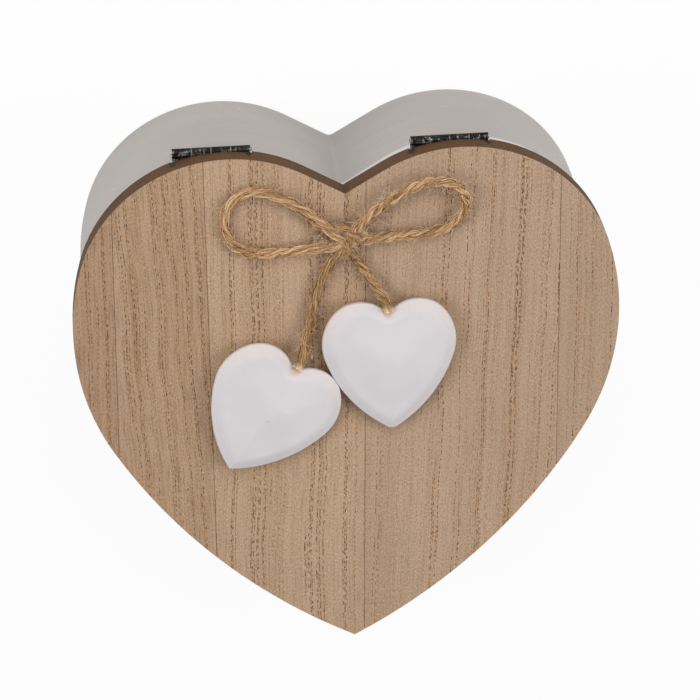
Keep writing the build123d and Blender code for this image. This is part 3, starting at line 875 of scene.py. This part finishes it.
def heart_outline(width, side_radius, tip_radius):
    """A heart's right half from notch to tip, then its mirror image, as one closed ring."""
    def towards(angle):
        return Vector((math.cos(angle), math.sin(angle)))

    shoulder_radius = width * shoulder_share
    flank_run = width * flank_share
    shoulder_middle = Vector((width / 2 - shoulder_radius, 0.0))
    lean = math.cos(heart_flank_angle)
    slope = math.sin(heart_flank_angle)
    reach = math.cos(heart_shoulder_angle)
    start = shoulder_middle.x + shoulder_radius * reach
    lobe_radius = (start - flank_run) / (reach + slope)
    lobe_middle = shoulder_middle + (shoulder_radius - lobe_radius) * towards(heart_shoulder_angle)
    side_middle = shoulder_middle - (side_radius - shoulder_radius) * towards(-heart_side_angle)
    flank_end = lobe_middle + lobe_radius * towards(math.pi / 2 + heart_flank_angle)
    notch_y = flank_end.y - flank_end.x * math.tan(heart_flank_angle)
    notch_middle = Vector((0.0, notch_y + heart_notch_radius / lean))
    inner = side_radius - tip_radius
    tip_middle = Vector((0.0, side_middle.y - math.sqrt(inner ** 2 - side_middle.x ** 2)))
    tip_turn = math.atan2(tip_middle.y - side_middle.y, tip_middle.x - side_middle.x)
    half = arc(notch_middle, heart_notch_radius, -math.pi / 2, -math.pi / 2 + heart_flank_angle)
    half += arc(lobe_middle, lobe_radius, math.pi / 2 + heart_flank_angle, heart_shoulder_angle)
    half += arc(shoulder_middle, shoulder_radius, heart_shoulder_angle, -heart_side_angle)[1:]
    half += arc(side_middle, side_radius, -heart_side_angle, tip_turn)[1:]
    half += arc(tip_middle, tip_radius, tip_turn, -math.pi / 2)[1:]
    other = [Vector((-point.x, point.y)) for point in reversed(half[1:-1])]
    return half + other


def near_outline(point, ring):
    """The distance from a point to a closed ring."""
    best = 1.0
    for a, b in zip(ring, ring[1:] + ring[:1]):
        run = b - a
        share = max(0.0, min(1.0, (point - a).dot(run) / run.length_squared))
        best = min(best, (point - a - share * run).length)
    return best


def ease(value, low, high):
    """A smooth step from 0 to 1."""
    share = max(0.0, min(1.0, (value - low) / (high - low)))
    return share * share * (3 - 2 * share)


def face_height(inset):
    """The height of a heart's face over its middle plane, by the distance from its outline."""
    edge = max(0.0, 1.0 - inset / edge_round)
    height = edge_half + edge_rise * math.sqrt(max(0.0, 1.0 - edge * edge))
    for rise, low, high in face_rises:
        height += rise * ease(inset, low, high)
    return height


def back_height(inset):
    """The depth of a heart's back under its middle plane: a wide chamfer, then flat."""
    return back_edge + back_depth * min(1.0, inset / back_chamfer)


def carved_heart(name, side, material):
    """A heart's closed mesh, with the distance from its outline and its own place stored for the paint."""
    ring = heart_outline(*heart_cuts[side])
    rows = [(-1, share) for share in reversed(row_shares)] + [(1, share) for share in row_shares]
    places = []
    insets = []
    for face, share in rows:
        for point in ring:
            flat = point + (heart_core - point) * share
            inset = near_outline(flat, ring) if share else 0.0
            height = face_height(inset) if face > 0 else -back_height(inset)
            places.append((flat.x, flat.y, height))
            insets.append(inset)
    count = len(ring)
    faces = []
    for row in range(len(rows) - 1):
        for step in range(count):
            following = (step + 1) % count
            a, b = row * count + step, row * count + following
            faces.append((a, a + count, b + count, b))
    back_cap = (0, -back_height(heart_core_inset), 1)
    face_cap = ((len(rows) - 1) * count, face_height(heart_core_inset), -1)
    for first, height, direction in (back_cap, face_cap):
        places.append((heart_core.x, heart_core.y, height))
        insets.append(heart_core_inset)
        for step in range(count):
            corner = (first + step, first + (step + 1) % count, len(places) - 1)
            faces.append(corner[::direction])
    mesh = bpy.data.meshes.new(name)
    mesh.from_pydata([on_heart(side, *place) for place in places], [], faces)
    kept = {"inset": insets, "upper": [y for x, y, z in places]}
    kept["from_notch"] = [math.hypot(x, y - heart_notch) for x, y, z in places]
    for kept_name, values in kept.items():
        mesh.attributes.new(kept_name, "FLOAT", "POINT").data.foreach_set("value", values)
    mesh.polygons.foreach_set("use_smooth", [True] * len(mesh.polygons))
    mesh.materials.append(material)
    mesh.update()
    return put_in_scene(name, mesh)


rim_widths = (0.0020, 0.0034)
worn_from_middle = (-0.004, 0.008)
glue_spread = (0.0012, 0.0028)
edge_highlight_width = 0.0004


def heart_paint():
    material, tree, place = new_finish("heart_paint", specular=0.35)
    inset = attribute(tree, "inset")
    upper = attribute(tree, "upper")
    from_notch = attribute(tree, "from_notch")
    clouds = pattern(tree, place, (90.0, 90.0, 90.0), 4.0, 0.6)
    grain = pattern(tree, place, (1600.0, 1600.0, 1600.0), 2.0, 0.6)
    specks = pattern(tree, place, (520.0, 520.0, 520.0), 1.0, 0.5, (5.0, 2.0, 0.0))
    specks = remap(tree, specks, 0.76, 0.8, 0.0, 0.25, True)
    rim = remap(tree, inset, *rim_widths, 1.0, 0.0, True)
    worn = times(tree, rim, remap(tree, upper, *worn_from_middle, 0.0, 1.0, True))
    scuffs = pattern(tree, place, (420.0, 420.0, 420.0), 3.0, 0.65, (1.0, 7.0, 0.0))
    worn = times(tree, worn, remap(tree, clouds, 0.35, 0.6, 0.2, 0.6))
    worn = times(tree, worn, remap(tree, scuffs, 0.4, 0.6, 0.45, 1.4))
    glue = remap(tree, from_notch, *glue_spread, 0.6, 0.0, True)
    glue = times(tree, glue, remap(tree, clouds, 0.3, 0.6))
    paint = mix_colours(tree, remap(tree, clouds, 0.3, 0.7), colour(214, 209, 211), colour(219, 215, 217))
    paint = mix_colours(tree, worn, paint, colour(222, 206, 199))
    paint = mix_colours(tree, specks, paint, colour(176, 158, 148))
    paint = mix_colours(tree, glue, paint, colour(198, 166, 136))
    # A thin painted highlight along the outline.
    edge = remap(tree, inset, 0.0, edge_highlight_width, 0.6, 0.0)
    paint = mix_colours(tree, edge, paint, colour(238, 236, 237))
    relief = bumped(tree, clouds, 0.0003, 0.4)
    relief = bumped(tree, grain, 0.00005, 0.8, relief)
    return finished(material, paint, remap(tree, clouds, 0.3, 0.7, 0.45, 0.6), relief)


dipped_white = heart_paint()
for side in heart_places:
    heart = carved_heart("heart_" + side + "_carved", side, dipped_white)
    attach(heart, "charm_" + side)
    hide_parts("heart_" + side)

# Floor, light and camera
# The box lies on a plain white table between two large soft lamps, with a weaker one behind its lobes. The
# camera looks down on the lid from the hinges' side.

floor_reach = 4
glow_share = 0.93
fill_strength = 0.32
lamp_aim = Vector((0.0, 0.0, 0.05))
camera_place = (-0.08143, 0.49919, 1.04555)
white = (1.0, 1.0, 1.0, 1.0)

floor_mesh = bpy.data.meshes.new("floor")
floor_corners = [(floor_reach * x, floor_reach * y, 0) for x, y in ((-1, -1), (1, -1), (1, 1), (-1, 1))]
floor_mesh.from_pydata(floor_corners, [], [(0, 1, 2, 3)])
floor = put_in_scene("floor", floor_mesh)
floor_finish = bpy.data.materials.new("white_table")
floor_finish.use_nodes = True
table = floor_finish.node_tree
top = table.nodes["Principled BSDF"]
top.inputs["Base Color"].default_value = (0.85, 0.85, 0.85, 1.0)
top.inputs["Roughness"].default_value = 0.9
seen = add_node(table, "ShaderNodeLightPath").outputs
seen_share = maths(table, "MAXIMUM", seen["Is Camera Ray"], seen["Is Glossy Ray"])
seen_share = maths(table, "MAXIMUM", seen_share, seen["Is Transmission Ray"])
seen_share = maths(table, "MULTIPLY", seen_share, glow_share)
glow = add_node(table, "ShaderNodeEmission", {"Color": white, "Strength": 1.0}).outputs[0]
paper = add_node(table, "ShaderNodeMixShader", {0: seen_share, 1: top.outputs[0], 2: glow})
table.links.new(paper.outputs[0], table.nodes["Material Output"].inputs["Surface"])
floor_mesh.materials.append(floor_finish)

world = bpy.data.worlds.new("studio")
bpy.context.scene.world = world
world.use_nodes = True
sky = world.node_tree
seen = add_node(sky, "ShaderNodeLightPath").outputs
seen_share = maths(sky, "MAXIMUM", seen["Is Camera Ray"], seen["Is Transmission Ray"])
fill = sky.nodes["Background"]
fill.inputs["Color"].default_value = white
fill.inputs["Strength"].default_value = fill_strength
backdrop = add_node(sky, "ShaderNodeBackground", {"Color": white, "Strength": 1.0}).outputs[0]
shown = add_node(sky, "ShaderNodeMixShader", {0: seen_share, 1: fill.outputs[0], 2: backdrop})
sky.links.new(shown.outputs[0], sky.nodes["World Output"].inputs["Surface"])

lamps = {
    "soft_left": ((-0.85, 0.25, 0.95), 0.7, 5.4),
    "soft_right": ((0.85, 0.25, 0.95), 0.7, 5.4),
    "soft_back": ((0.0, 0.95, 1.0), 0.6, 5.0),
}
for name, (place, width, power) in lamps.items():
    light = bpy.data.lights.new(name, "AREA")
    light.shape = "DISK"
    light.size = width
    light.energy = power
    lamp = put_in_scene(name, light)
    lamp.location = place
    lamp.rotation_mode = "QUATERNION"
    lamp.rotation_quaternion = (lamp_aim - Vector(place)).to_track_quat("-Z", "Y")

lens = bpy.data.cameras.new("camera")
lens.lens = 171.4
lens.sensor_width = 36.0
lens.clip_start = 0.05
lens.clip_end = 20.0
camera = put_in_scene("camera", lens)
backward = Vector((-0.07458, 0.43745, 0.89615)).normalized()
rightward = Vector((0.99552, -0.0196, 0.09242))
upward = backward.cross(rightward).normalized()
rightward = upward.cross(backward)
turn = Matrix((rightward, upward, backward)).transposed().to_4x4()
camera.matrix_world = Matrix.Translation(camera_place) @ turn
bpy.context.scene.camera = camera
bpy.context.scene.view_settings.view_transform = "Standard"
